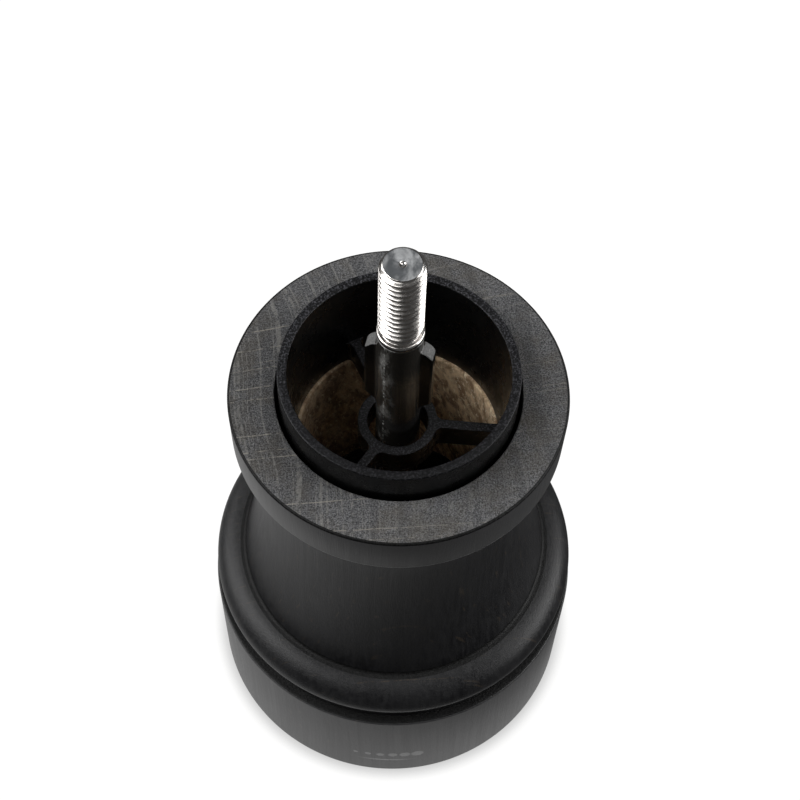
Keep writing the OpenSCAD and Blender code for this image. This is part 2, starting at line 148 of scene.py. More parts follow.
def skin(rings, loop):
    """Skin over equal rings of (x, y, z) points: a loop joins the last to the first, else ends are capped."""
    bm = bmesh.new()
    made = [[bm.verts.new(point) for point in ring] for ring in rings]
    pairs = list(zip(made, made[1:]))
    if loop:
        pairs.append((made[-1], made[0]))
    count = len(made[0])
    for low, high in pairs:
        for k in range(count):
            m = (k + 1) % count
            bm.faces.new([low[k], low[m], high[m], high[k]])
    if not loop:
        bm.faces.new(made[0])
        bm.faces.new(made[-1])
    return bm


def lathe(name, outline, segments, sharp=38):
    """Revolves a closed (r, z) outline about +Z."""
    turns = full_turn(segments)
    rings = [ring_of([r] * segments, turns, z) for r, z in outline]
    return finish_mesh(skin(rings, loop=True), name, sharp)


def join(name, pieces):
    """Joins meshes that stand for one moulding into one object."""
    bm = bmesh.new()
    for piece in pieces:
        bm.from_mesh(piece.data)
        bpy.data.objects.remove(piece)
    mesh = bpy.data.meshes.new(name)
    bm.to_mesh(mesh)
    bm.free()
    return add_object(name, mesh)


def place(piece, body, materials, node):
    """Gives a piece its body and its materials, and hides the CAD node that it stands for."""
    for item in materials:
        piece.data.materials.append(item)
    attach(piece, body)
    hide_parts(node)


def paint(piece, pick):
    """Gives each face the place in the piece's materials that pick returns for its radius, height and slope.

    Radius and height are in millimetres. The slope is the upward part of the normal, 1 on a level face.
    """
    for face in piece.data.polygons:
        radius = Vector(face.center[:2]).length / MM
        face.material_index = pick(radius, face.center.z / MM, face.normal.z)


# ---------------------------------------------------------------- material helpers


def even(value):
    """One value three times: a grey, or the same scale along x, y and z."""
    return (value,) * 3


class Graph:
    """A Principled material and short calls that add nodes to it. Lengths in it are in millimetres."""

    def __init__(self, name, metallic=0.0, specular=0.5):
        self.material = bpy.data.materials.new(name)
        self.material.use_nodes = True
        self.tree = self.material.node_tree
        self.shader = self.tree.nodes["Principled BSDF"]
        self.set("Metallic", metallic)
        self.set("Specular IOR Level", specular)
        coords = self.tree.nodes.new("ShaderNodeTexCoord")
        self.at = self.vector("MULTIPLY", coords.outputs["Object"], (1 / MM,) * 3)
        parts = self.tree.nodes.new("ShaderNodeSeparateXYZ")
        self.feed(parts.inputs[0], self.at)
        self.x, self.y, self.height = parts.outputs
        self.radius = self.vector("LENGTH", self.vector("MULTIPLY", self.at, (1, 1, 0)), (0, 0, 0))

    def set(self, socket, value):
        """Sets a shader socket to a plain value, or links another socket to it."""
        self.feed(self.shader.inputs[socket], value)

    def feed(self, socket, value):
        """Sets any node's input to a plain value, or links another socket to it."""
        if isinstance(value, bpy.types.NodeSocket):
            self.tree.links.new(value, socket)
        else:
            socket.default_value = value

    def math(self, operation, first, second=0.0):
        """Result of a Math node for two numbers or sockets."""
        node = self.tree.nodes.new("ShaderNodeMath")
        node.operation = operation
        self.feed(node.inputs[0], first)
        self.feed(node.inputs[1], second)
        return node.outputs[0]

    def times(self, first, second):
        """Product of two numbers or sockets."""
        return self.math("MULTIPLY", first, second)

    def vector(self, operation, first, second):
        """Result of a Vector Math node, which is a number for a length or a distance."""
        node = self.tree.nodes.new("ShaderNodeVectorMath")
        node.operation = operation
        self.feed(node.inputs[0], first)
        self.feed(node.inputs[1], second)
        return node.outputs["Value" if operation in ("LENGTH", "DISTANCE") else "Vector"]

    def combine(self, x, y, z):
        """Vector with the given parts, each a number or a socket."""
        node = self.tree.nodes.new("ShaderNodeCombineXYZ")
        for socket, value in zip(node.inputs, (x, y, z)):
            self.feed(socket, value)
        return node.outputs[0]

    def noise(self, where, stretch, detail=2.0, rough=0.5, distort=0.0):
        """Noise from 0 to 1 with the given number of features a millimetre along x, y and z."""
        node = self.tree.nodes.new("ShaderNodeTexNoise")
        node.noise_dimensions = "3D"
        self.feed(node.inputs["Vector"], self.vector("MULTIPLY", where, stretch))
        node.inputs["Scale"].default_value = 1
        node.inputs["Detail"].default_value = detail
        node.inputs["Roughness"].default_value = rough
        node.inputs["Distortion"].default_value = distort
        return node.outputs["Fac"]

    def span(self, value, low, high, to_low=0.0, to_high=1.0):
        """Value eased from to_low at low to to_high at high, and held outside them."""
        node = self.tree.nodes.new("ShaderNodeMapRange")
        node.interpolation_type = "SMOOTHSTEP"
        for socket, item in zip(("From Min", "From Max", "To Min", "To Max"), (low, high, to_low, to_high)):
            node.inputs[socket].default_value = item
        self.feed(node.inputs["Value"], value)
        return node.outputs["Result"]

    def line(self, value, centre, half_width):
        """One where value is at centre, easing to nothing half_width away from it."""
        return self.span(self.math("ABSOLUTE", self.math("SUBTRACT", value, centre)), 0, half_width, 1, 0)

    def mix(self, share, first, second):
        """Colour between two colours, each an (r, g, b) or a socket."""
        node = self.tree.nodes.new("ShaderNodeMix")
        node.data_type = "RGBA"
        self.feed(node.inputs[0], share)
        for socket, value in ((node.inputs[6], first), (node.inputs[7], second)):
            self.feed(socket, value if isinstance(value, bpy.types.NodeSocket) else (*value, 1))
        return node.outputs[2]

    def bump(self, height, depth):
        """Relief of the given depth in millimetres, stacked on any relief already there."""
        node = self.tree.nodes.new("ShaderNodeBump")
        node.inputs["Strength"].default_value = 1
        node.inputs["Distance"].default_value = depth * MM
        self.feed(node.inputs["Height"], height)
        earlier = self.shader.inputs["Normal"].links
        if earlier:
            self.tree.links.new(earlier[0].from_socket, node.inputs["Normal"])
        self.set("Normal", node.outputs["Normal"])


# ---------------------------------------------------------------- wood

# The tree's centre, far outside the mill, so that the rings run nearly straight through it, and about how
# far it is from the mill's axis, which turns angles round it into lengths
PITH = (-226.0, -45.0)
PITH_R = 230.0
# Radius, height and lower edge of the rim round the top face
RIM_R = 23.2
RIM_H = 7.0
RIM_LOW = WOOD_HIGH.z - RIM_H
# Mark printed on the base band: its dots' height and the band's radius there, then its dots and line
MARK_Z = 7.4
MARK_AT_R = 28.4
MARK_DOTS = 6
MARK_DOT_STEP = 2.0
MARK_FIRST_DOT_R = 0.35
MARK_DOT_GROWTH = 0.13
MARK_DOT_EDGE = 0.15
MARK_INK = 0.8
MARK_LINE_DROP = 2.4
MARK_LINE_HALF_W = 0.45
MARK_LINE_REACH = 5.6


class Beech(Graph):
    """Beech in one tree's coordinates, so that rings, rays and pores agree on end and side grain."""

    def __init__(self, name, specular):
        super().__init__(name, specular=specular)
        dx = self.math("SUBTRACT", self.x, PITH[0])
        dy = self.math("SUBTRACT", self.y, PITH[1])
        from_pith = self.math("SQRT", self.math("ADD", self.times(dx, dx), self.times(dy, dy)))
        around = self.times(self.math("ARCTAN2", dy, dx), PITH_R)
        sway = self.noise(self.at, (0.05, 0.05, 0.015), detail=1)
        out = self.math("ADD", from_pith, self.times(sway, 5.0))
        waver = self.noise(self.at, (0.25, 0.25, 0.05), detail=1)
        around = self.math("ADD", around, self.times(waver, 0.35))
        self.tree_at = self.combine(out, around, self.height)
        ring = self.noise(self.combine(out, 0.0, 0.0), (0.40, 1, 1), detail=2, rough=0.6)
        self.ring = self.span(ring, 0.36, 0.64)
        self.ring_line = self.line(ring, 0.5, 0.020)
        ray = self.noise(self.tree_at, (0.010, 2.6, 0.28), detail=1, rough=0.5)
        self.ray = self.span(ray, 0.64, 0.70)
        pore = self.noise(self.tree_at, (5.5, 6.5, 0.22), detail=2, rough=0.65)
        self.pore = self.span(pore, 0.40, 0.62)
        self.streak = self.noise(self.tree_at, (1.5, 1.5, 0.02), detail=3, rough=0.6)
        self.mottle = self.noise(self.at, (0.09, 0.09, 0.05), detail=3, rough=0.55)


def end_grain():
    """Stained end grain of the top face: speckle, warm patches, broken pale rays and ring lines, pits."""
    g = Beech("stained_end_grain", specular=0.3)
    speckle = g.noise(g.at, even(4.6), detail=2.5, rough=0.8)
    speckle = g.span(speckle, 0.34, 0.68)
    color = g.mix(speckle, (0.020, 0.021, 0.023), (0.195, 0.195, 0.200))
    warm = g.span(g.noise(g.at, even(0.18), detail=5, rough=0.7), 0.42, 0.70)
    color = g.mix(g.times(warm, 0.5), color, (0.080, 0.068, 0.050))
    color = g.mix(g.times(g.ring, 0.30), color, (0.036, 0.036, 0.038))
    broken = g.span(g.noise(g.tree_at, even(0.9), detail=3, rough=0.7), 0.38, 0.56)
    # The lines are clearer on the left than on the right
    leftward = g.span(g.x, -12, 6, 1.0, 0.35)
    faint = g.times(broken, leftward)
    color = g.mix(g.times(g.times(g.ring_line, 0.55), faint), color, (0.24, 0.235, 0.22))
    color = g.mix(g.times(g.times(g.ray, 0.75), faint), color, (0.32, 0.30, 0.26))
    pits = g.span(g.noise(g.at, even(2.6), detail=1), 0.70, 0.76)
    color = g.mix(g.times(pits, 0.5), color, even(0.30))
    g.set("Base Color", color)
    g.set("Roughness", g.span(speckle, 0, 1, 0.75, 0.52))
    g.bump(speckle, 0.035)
    g.bump(g.pore, 0.02)
    return g.material


def grind_mark(g):
    """Mask of the fine-to-coarse mark at the band's front: dots of growing size over a thin line."""
    along = g.times(g.math("ARCTAN2", g.x, g.times(g.y, -1.0)), MARK_AT_R)
    spot = g.combine(along, g.height, 0.0)
    line = g.line(g.height, MARK_Z - MARK_LINE_DROP, MARK_LINE_HALF_W)
    mask = g.times(line, g.line(along, 0, MARK_LINE_REACH))
    for k in range(MARK_DOTS):
        radius = MARK_FIRST_DOT_R + MARK_DOT_GROWTH * k
        middle = MARK_DOT_STEP * (k - (MARK_DOTS - 1) / 2)
        gap = g.vector("DISTANCE", spot, (middle, MARK_Z, 0))
        dot = g.span(gap, radius - MARK_DOT_EDGE, radius + MARK_DOT_EDGE, MARK_INK, 0)
        mask = g.math("MAXIMUM", mask, dot)
    at_front = g.span(g.y, 0, -1)
    return g.times(mask, at_front)


def side_grain(name, dark, light, fleck, roughness, shine, marked=False):
    """Stained long grain: upright streaks, ring edges, brownish flecks, turning marks, a rubbed rim side with
    painted light on its left and a painted highlight along its lower corner.
    """
    g = Beech(name, specular=shine)
    color = g.mix(g.span(g.streak, 0.3, 0.72), dark, light)
    color = g.mix(g.times(g.ring, 0.40), color, dark)
    color = g.mix(g.times(g.ring_line, 0.35), color, light)
    color = g.mix(g.span(g.mottle, 0.35, 0.7, 0, 0.5), color, light)
    broken = g.span(g.noise(g.at, (0.9, 0.9, 0.3), detail=4, rough=0.75), 0.44, 0.60)
    color = g.mix(g.times(g.times(g.ray, broken), 0.6), color, fleck)
    fine = g.span(g.noise(g.tree_at, (6.0, 6.0, 0.5), detail=2, rough=0.6), 0.60, 0.72)
    color = g.mix(g.times(fine, 0.4), color, dark)
    # The rim's side is rubbed lighter, with painted light making it lighter still on the left, and a painted
    # highlight runs along its lower corner
    at_rim = g.span(g.radius, RIM_R - 0.6, RIM_R - 0.2)
    rubbed_and_lit = g.times(g.span(g.height, RIM_LOW - 0.5, RIM_LOW), at_rim)
    # Painted light: the rim's side is lighter on the left
    rightward = g.span(g.x, -22, -8)
    lit_left_streaks = g.mix(g.span(g.streak, 0.30, 0.70), even(0.11), even(0.19))
    color = g.mix(g.times(rubbed_and_lit, 0.7), color, g.mix(rightward, lit_left_streaks, (0.075, 0.075, 0.076)))
    # Painted highlight: a pale line along the rim's lower corner
    pale_edge = g.times(g.line(g.height, RIM_LOW - 0.15, 0.28), at_rim)
    color = g.mix(pale_edge, color, even(0.30))
    if marked:
        color = g.mix(grind_mark(g), color, even(0.30))
    g.set("Base Color", color)
    g.set("Roughness", g.span(g.streak, 0.3, 0.7, roughness - 0.03, roughness + 0.03))
    g.bump(g.pore, 0.010)
    g.bump(g.streak, 0.007)
    turned = g.noise(g.at, (0.05, 0.05, 5.0), detail=2, rough=0.7)
    g.bump(turned, 0.006)
    return g.material


def burnished_edge_and_painted_shade():
    """The dark polished corner round the top face; the same dark wood is painted as shade into the crease
    above the bead and onto the band's top face.
    """
    g = Beech("burnished_edge_and_painted_shade", specular=0.2)
    g.set("Base Color", g.mix(g.pore, even(0.003), even(0.010)))
    g.set("Roughness", 0.45)
    g.bump(g.pore, 0.02)
    return g.material


def raw_beech():
    """Unstained bore: tan, torn by the drill, with darker flecks and pale patches, and painted shade that
    darkens it to the left.
    """
    g = Graph("raw_beech", specular=0.4)
    leaning = g.combine(g.x, g.y, g.math("ADD", g.height, g.times(g.x, 0.8)))
    torn = g.noise(leaning, (0.45, 0.45, 0.30), detail=5, rough=0.7, distort=0.5)
    color = g.mix(g.span(torn, 0.38, 0.62), (0.30, 0.19, 0.11), (0.80, 0.60, 0.38))
    chip = g.noise(leaning, (1.0, 1.0, 0.65), detail=5, rough=0.75)
    color = g.mix(g.span(chip, 0.50, 0.68, 0, 0.6), color, (0.20, 0.125, 0.07))
    pale = g.noise(leaning, (1.7, 1.7, 1.0), detail=3, rough=0.7)
    color = g.mix(g.span(pale, 0.54, 0.66, 0, 0.85), color, (0.98, 0.84, 0.60))
    # Painted shade: darker towards the left
    color = g.mix(g.span(g.x, -10, 4, 0.45, 0), color, (0.10, 0.06, 0.035))
    g.set("Base Color", color)
    g.set("Roughness", 0.75)
    g.bump(torn, 0.20)
    g.bump(chip, 0.12)
    return g.material


END_GRAIN = end_grain()
BODY_WOOD = side_grain(
    "stained_body_wood", dark=(0.004, 0.004, 0.005), light=(0.020, 0.020, 0.021),
    fleck=(0.050, 0.038, 0.026), roughness=0.42, shine=0.36)
BAND_WOOD = side_grain(
    "stained_band_wood", dark=(0.030, 0.030, 0.031), light=(0.055, 0.055, 0.056),
    fleck=(0.07, 0.064, 0.055), roughness=0.42, shine=0.5, marked=True)
EDGE_AND_SHADE_WOOD = burnished_edge_and_painted_shade()
RAW_WOOD = raw_beech()

# ---------------------------------------------------------------- plastic and metal

# Direction of the shaft's moulding seam, along which glints are painted, in degrees about +Z
SEAM_ANGLE = -130


def plastic(name, color, roughness, grain, depth, specular=0.5):
    """Moulded plastic: fine spark-eroded texture with peaks twice as light, uneven gloss."""
    g = Graph(name, specular=specular)
    texture = g.noise(g.at, even(grain), detail=3, rough=0.7)
    smear = g.noise(g.at, even(0.35), detail=3, rough=0.6)
    peaks = tuple(2 * c for c in color)
    g.set("Base Color", g.mix(g.span(texture, 0.45, 0.70), color, peaks))
    g.set("Roughness", g.span(smear, 0.3, 0.7, roughness - 0.08, roughness + 0.08))
    g.bump(texture, depth)
    return g.material


def collar_top(name, front, shine):
    """Matte upper faces of the collar: black with fine light specks, thinned towards the front as painted
    shade.
    """
    g = Graph(name, specular=shine)
    grain = g.noise(g.at, even(3.6), detail=2, rough=0.7)
    # Painted shade: the specks fade towards the front
    painted_light_share = g.span(g.y, -14, 4, front, 1)
    specks = g.times(g.span(grain, 0.46, 0.68), painted_light_share)
    g.set("Base Color", g.mix(specks, (0.002, 0.002, 0.0025), (0.066, 0.066, 0.074)))
    g.set("Roughness", 0.38)
    g.bump(grain, 0.06)
    return g.material


def metal(name, color, roughness, line_rate, depth, tint=0.30):
    """Turned or drawn metal: fine lines round the axis, and stains that are darker by the share tint."""
    g = Graph(name, metallic=1.0)
    lines = g.noise(g.at, (0.4, 0.4, line_rate), detail=3, rough=0.6)
    stain = g.noise(g.at, even(0.8), detail=4, rough=0.6)
    darker = tuple(c * (1 - tint) for c in color)
    g.set("Base Color", g.mix(g.span(stain, 0.35, 0.75, 0, 0.5), color, darker))
    g.set("Roughness", g.span(stain, 0.3, 0.7, roughness - 0.04, roughness + 0.08))
    g.bump(lines, depth)
    return g.material


def shaft_plastic():
    """Half-gloss plastic of the shaft, darker on the wings as painted shade, with painted glints in spots
    along one moulding seam and a rubbed patch about it that is also painted lighter as lit.
    """
    g = Graph("shaft_plastic", specular=0.8)
    from_seam = g.math("SUBTRACT", g.math("ARCTAN2", g.y, g.x), math.radians(SEAM_ANGLE))
    glint_spots = g.span(g.noise(g.combine(0.0, 0.0, g.height), (1, 1, 1.1), detail=4, rough=0.8), 0.49, 0.60)
    scuff_and_glint = g.times(g.line(from_seam, 0, 0.06), glint_spots)
    patch = g.span(g.noise(g.at, (0.6, 0.6, 0.3), detail=5, rough=0.7), 0.45, 0.75)
    rubbed_and_lit = g.times(patch, g.line(from_seam, 0, 0.7))
    # Painted shade: the wings darker than the round stem
    plain = g.mix(g.span(g.radius, 3.15, 3.5), (0.026, 0.024, 0.021), (0.007, 0.0065, 0.006))
    # Rubbed patch about the seam, partly painted light
    color = g.mix(rubbed_and_lit, plain, (0.26, 0.26, 0.25))
    # Painted highlight: glints in spots along the seam
    g.set("Base Color", g.mix(scuff_and_glint, color, (0.6, 0.6, 0.58)))
    g.set("Roughness", g.span(patch, 0, 1, 0.13, 0.28))
    g.bump(g.noise(g.at, even(1.6), detail=3, rough=0.7), 0.010)
    return g.material


def sawn_tip():
    """End of the stud: parted off the bar, scuffed, so that it shines in patches."""
    g = Graph("sawn_tip", metallic=1.0)
    scuff_and_glint = g.noise(g.at, (0.42, 0.30, 1.0), detail=4, rough=0.6, distort=0.5)
    g.set("Base Color", g.mix(g.span(scuff_and_glint, 0.40, 0.66), (0.17, 0.18, 0.19), (0.62, 0.63, 0.64)))
    g.set("Roughness", g.span(scuff_and_glint, 0.35, 0.65, 0.28, 0.5))
    g.bump(scuff_and_glint, 0.07)
    return g.material


COLLAR_RIM = collar_top("collar_matte", 0.35, 0.2)
COLLAR_SHADED_WALL = plastic("collar_shaded_wall", even(0.002), 0.30, 2.2, 0.012, specular=0.35)
COLLAR_SPIDER = collar_top("collar_spider", 0.6, 0.25)
HOUSING = plastic("housing_plastic", (0.008, 0.008, 0.009), 0.42, 3.5, 0.02)
SHAFT = shaft_plastic()
WING_TOP_GREY = plastic("pale_wing_top", (0.11, 0.11, 0.108), 0.60, 4.5, 0.10)
NYLON = plastic("nylon", (0.55, 0.54, 0.50), 0.42, 2.5, 0.01)
STAINLESS = metal("stainless", (0.72, 0.69, 0.66), 0.20, 14, 0.0015)
SAWN_TIP = sawn_tip()
BURR_STEEL = metal("burr_steel", (0.20, 0.20, 0.205), 0.36, 5, 0.008, tint=0.50)
ZINC = metal("zinc_steel", (0.55, 0.56, 0.58), 0.30, 6, 0.004)
SPRING_STEEL = metal("spring_steel", (0.42, 0.42, 0.43), 0.28, 6, 0.004)
BRONZE = metal("sintered_bronze", (0.48, 0.29, 0.12), 0.40, 4, 0.01, tint=0.45)

# ---------------------------------------------------------------- wooden body

# Outside of the body: its waist, and the crease between its cove and its bead
WAIST_R = 19.8
WAIST_Z = 57.0
CREASE_R = 23.4
# The fillet between the bead and the cove, and how far outside the crease its centre is
CREASE_FILLET = 0.75
CREASE_FILLET_OUT = 0.55
BEAD_H = 4.3
# Size of the lower corners of the bead and the rim, and the inset of the bead corner's middle point
EDGE = 0.4
EDGE_SOFT = 0.12
# Radius at which the cove meets the rim's underside
FLARE_R = RIM_R - 1.4
# Inside of the body: seat of the collar, hopper bore and the recess for the housing
SEAT_R = 16.8
BORE_R = 14.0
RECESS_R = 15.45
RECESS_TOP = 34.5
# Inside of the base band: its bore, and the wider step at its foot for the cam ring's flange
BAND_BORE_R = 24.0
BAND_STEP_R = 26.8
BAND_STEP_H = 2.9


def wood_outline():
    """The turned outside from the bead up to the rim, then the top face and the bores."""
    low, top, bead_r = WOOD_LOW.z, WOOD_HIGH.z, WOOD_HIGH.x
    crease_z = low + BEAD_H
    rise, run = WAIST_Z - crease_z, CREASE_R - WAIST_R
    cove_r = (rise * rise + run * run) / (2 * run)
    cove = math.degrees(math.asin(rise / cove_r))
    bead = [(bead_r - EDGE, low), (bead_r - EDGE_SOFT, low + EDGE_SOFT)]
    bead += arc(CREASE_R, low + EDGE, bead_r - CREASE_R, BEAD_H - EDGE, 0, 80, 18)
    fillet = CREASE_FILLET
    waist = arc(CREASE_R + CREASE_FILLET_OUT, crease_z + fillet, fillet, fillet, 265, 195, 8)
    waist += arc(WAIST_R + cove_r, WAIST_Z, cove_r, cove_r, 180 + cove - 0.8, 180, 40)
    flare = arc(FLARE_R, WAIST_Z, WAIST_R - FLARE_R, RIM_LOW - EDGE - WAIST_Z, 4, 90, 16)
    upper = rounded([
        (FLARE_R, RIM_LOW - EDGE), (RIM_R - 0.1, RIM_LOW - EDGE + 0.05, 0.4), (RIM_R, top, 0.35),
        (SEAT_R, top, 0.22), (SEAT_R, COLLAR_LOW.z), (BORE_R, COLLAR_LOW.z, 0.3),
        (BORE_R, RECESS_TOP, 0.2), (RECESS_R, RECESS_TOP), (RECESS_R, low),
    ])
    return bead + waist + flare + upper


def wood_body():
    """The turned body: stained sides and top, burnished edge, painted shade in the crease, bare bores."""
    side, face, edge_and_shade, bore = range(4)

    def pick(radius, height, slope):
        over_bead = height - WOOD_LOW.z - BEAD_H
        if radius < RECESS_R + 0.2 and height < COLLAR_LOW.z + 0.5:
            return bore
        if radius > RIM_R - EDGE and height > WOOD_HIGH.z - EDGE:
            return edge_and_shade
        # Painted shade: the crease above the bead gets the dark edge wood
        if radius < CREASE_R + 0.7 and -0.05 < over_bead < 0.7:
            return edge_and_shade
        if slope > 0.55 and height > WOOD_HIGH.z - 0.3:
            return face
        return side

    body = lathe("turned_body", wood_outline(), segments=256, sharp=50)
    place(body, "body", [BODY_WOOD, END_GRAIN, EDGE_AND_SHADE_WOOD, RAW_WOOD], "wood_body")
    paint(body, pick)


def base_band():
    """Turned band with its soft edges and the step that takes the cam ring's foot flange."""
    side, edge_and_shade = range(2)
    r, top = BAND_HIGH.x, BAND_HIGH.z
    outline = rounded([
        (BAND_STEP_R, 0, 0.15), (r, 0, 0.5), (r, top, 0.45), (BAND_BORE_R, top, 0.15),
        (BAND_BORE_R, BAND_STEP_H), (BAND_STEP_R, BAND_STEP_H),
    ])
    band = lathe("turned_band", outline, segments=256)
    place(band, "adjuster", [BAND_WOOD, EDGE_AND_SHADE_WOOD], "base_band")
    # Painted shade: the band's top face, in the groove under the bead, gets the dark edge wood
    paint(band, lambda radius, height, slope: edge_and_shade if slope > 0.8 else side)


wood_body()
base_band()

# ---------------------------------------------------------------- collar

SPIGOT_R = 16.3
MOUTH_R = 15.0
LOW_R = 14.4
RELIEF_R = 16.1
# Heights above the collar's foot at which its full width ends and the relief begins
FOOT_H = 3
RELIEF_FROM = 3.6
SPIDER_TOP = 66.4
SPIDER_EDGE = 0.14
GUIDE_OUT = 5.6
GUIDE_IN = 4.2
ARM_W = 1.4
ARMS = 3
# Direction of the first arm, and the angle between arms
ARM_ANGLE = -3
ARM_STEP = 120
# How far the spider's outline and its windows reach into the collar's wall
SPIDER_BITE = 0.45
WINDOW_BITE = 0.25
WINDOW_FILLET_OUT = 0.9
WINDOW_FILLET_IN = 1.5
# Points of an arc next to a corner that the corner's rounding stands for
CORNER_POINTS = 3


def collar_ring():
    """The collar's wall: spigot for the head, relief, and the fat foot that sits in the wood."""
    low, top = COLLAR_LOW.z, COLLAR_HIGH.z
    outline = rounded([
        (LOW_R, low, 0.2), (SEAT_R, low, 0.2), (SEAT_R, low + FOOT_H), (RELIEF_R, low + RELIEF_FROM),
        (RELIEF_R, WOOD_HIGH.z), (SPIGOT_R, WOOD_HIGH.z), (SPIGOT_R, top, 0.22), (MOUTH_R, top, 0.16),
    ])
    return lathe("collar_ring", outline, segments=224)


def window(turn):
    """Outline of one gap between two spider arms: two arcs and two straight sides, corners rounded."""
    half_w = ARM_W / 2
    outer, inner = LOW_R + WINDOW_BITE, GUIDE_OUT
    a_out = math.degrees(math.asin(half_w / outer))
    a_in = math.degrees(math.asin(half_w / inner))
    far = arc(0, 0, outer, outer, a_out, ARM_STEP - a_out, 24)
    near = arc(0, 0, inner, inner, ARM_STEP - a_in, a_in, 18)
    between = slice(CORNER_POINTS, -CORNER_POINTS)
    corners = [(*far[0], WINDOW_FILLET_OUT), *far[between], (*far[-1], WINDOW_FILLET_OUT)]
    corners += [(*near[0], WINDOW_FILLET_IN), *near[between], (*near[-1], WINDOW_FILLET_IN)]
    c, s = math.cos(math.radians(turn)), math.sin(math.radians(turn))
    return [(x * c - y * s, x * s + y * c) for x, y in rounded(corners, steps=7)]


def flat_curve(name, loops, low, top, bevel):
    """Solid plate from z = low to top whose outline and holes are the given loops, edges rounded."""
    curve = bpy.data.curves.new(name, "CURVE")
    curve.dimensions = "2D"
    curve.fill_mode = "BOTH"
    curve.extrude = (top - low) / 2 - bevel
    curve.bevel_depth = bevel
    curve.bevel_resolution = 3
    curve.offset = -bevel
    for loop in loops:
        spline = curve.splines.new("POLY")
        spline.points.add(len(loop) - 1)
        for point, (x, y) in zip(spline.points, loop):
            point.co = (x, y, 0, 1)
        spline.use_cyclic_u = True
    shape = bpy.data.objects.new(name, curve)
    mesh = bpy.data.meshes.new_from_object(shape)
    bpy.data.objects.remove(shape)
    mesh.transform(Matrix.Translation((0, 0, (low + top) / 2)))
    bm = bmesh.new()
    bm.from_mesh(mesh)
    return finish_mesh(bm, name)


def collar():
    """The moulded collar: its wall joined with the spider and the guide ring that the shaft runs in."""
    rim, wall, arms = range(3)

    def pick(radius, height, slope):
        # Painted shade: upright faces get the plain black wall plastic, level faces the lighter specked
        # plastic
        if abs(slope) < 0.3:
            return wall
        return arms if height < SPIDER_TOP + 0.5 else rim

    outside = circle(0, 0, LOW_R + SPIDER_BITE, 120)
    guide = circle(0, 0, GUIDE_IN, 60)
    windows = [window(ARM_ANGLE + ARM_STEP * k) for k in range(ARMS)]
    spider = flat_curve("spider", [outside, guide, *windows], COLLAR_LOW.z, SPIDER_TOP, SPIDER_EDGE)
    piece = join("collar", [collar_ring(), spider])
    place(piece, "body", [COLLAR_RIM, COLLAR_SHADED_WALL, COLLAR_SPIDER], "filler_collar")
    paint(piece, pick)


collar()

# ---------------------------------------------------------------- stud

THREAD_R = 3.0
PITCH = 1.0
ROOT_R = THREAD_R - 0.6134 * PITCH
TIP_R = 2.45
CORE_R = 1.5
FLANGE_R = 3.15
FLANGE_H = 0.9
FLANGE_EDGE_LOW = 0.28
FLANGE_EDGE_TOP = 0.3
NECK_H = 0.3
NECK_FILLET = 0.25
THREAD_Z = SLEEVE_HIGH.z + FLANGE_H + NECK_H
# Shares of half a pitch that the flat crest and the flank take, and how much the flank is eased
CREST = 0.14
FLANK = 0.66
EASE = 0.35
# Height over which the thread grows out of the neck
RUN_IN = 0.7
THREAD_COLUMNS = 96
THREAD_ROWS_PER_MM = 20


def thread_radius(height, turn):
    """Radius of the thread at a height above THREAD_Z, at a share of a turn round the axis."""
    phase = (height / PITCH - turn) % 1.0
    ridge = abs(phase - 0.5) * 2
    depth = min(1.0, max(0.0, (ridge - CREST) / FLANK))
    depth = depth * depth * (3 - 2 * depth) * EASE + depth * (1 - EASE)
    grown = min(1.0, max(0.0, height / RUN_IN))
    chamfer = TIP_R + max(0.0, STUD_HIGH.z - THREAD_Z - height)
    full = THREAD_R - (THREAD_R - ROOT_R) * depth
    return min(ROOT_R + (full - ROOT_R) * grown, chamfer)


def stud():
    """Flange turned from the bar, helical M6 thread that grows out of a neck, chamfered tip, centre mark."""
    steel, tip = range(2)
    foot, top = SLEEVE_HIGH.z, STUD_HIGH.z
    flange_top = foot + FLANGE_H
    turned = [(CORE_R, STUD_LOW.z), (CORE_R, foot - 0.1), (FLANGE_R - 0.5, foot)]
    low_edge, top_edge, neck = FLANGE_EDGE_LOW, FLANGE_EDGE_TOP, NECK_FILLET
    turned += arc(FLANGE_R - low_edge, foot + low_edge, low_edge, low_edge, -90, 0, 4)
    turned += arc(FLANGE_R - top_edge, flange_top - top_edge, top_edge, top_edge, 0, 90, 5)
    turned += arc(ROOT_R + neck, flange_top + neck, neck, neck, 270, 180, 3)
    marked = [(TIP_R - 0.12, top), (1.6, top), (0.5, top - 0.01), (0.36, top - 0.08), (0.15, top - 0.2)]
    turns = full_turn(THREAD_COLUMNS)
    rings = [ring_of([r] * THREAD_COLUMNS, turns, z) for r, z in turned]
    rows = int((top - THREAD_Z) * THREAD_ROWS_PER_MM)
    for row in range(rows + 1):
        height = (top - THREAD_Z) * row / rows
        radii = [thread_radius(height, k / THREAD_COLUMNS) for k in range(THREAD_COLUMNS)]
        rings.append(ring_of(radii, turns, THREAD_Z + height))
    rings += [ring_of([r] * THREAD_COLUMNS, turns, z) for r, z in marked]
    piece = finish_mesh(skin(rings, loop=False), "stud", sharp=60)
    place(piece, "shaft", [STAINLESS, SAWN_TIP], "threaded_stud")
    paint(piece, lambda radius, height, slope: tip if height > top - 0.3 and slope > 0.9 else steel)


stud()

# ---------------------------------------------------------------- winged sleeve

STEM_R = 3.1
STEM_FILLET = 0.35
WING_REACH = 4.6
WING_HALF_T = 1.0
WING_LOW = 72.6
WING_TOP = 86.6
WING_ANGLE = -12
WING_CORNER = 2.0
WING_TAPER = 1.6
WING_EDGE = 0.3
# Degrees each side of a wing's middle that get half-degree steps, and the steps across the stem between
WING_SPAN = 28
STEM_STEPS = 42


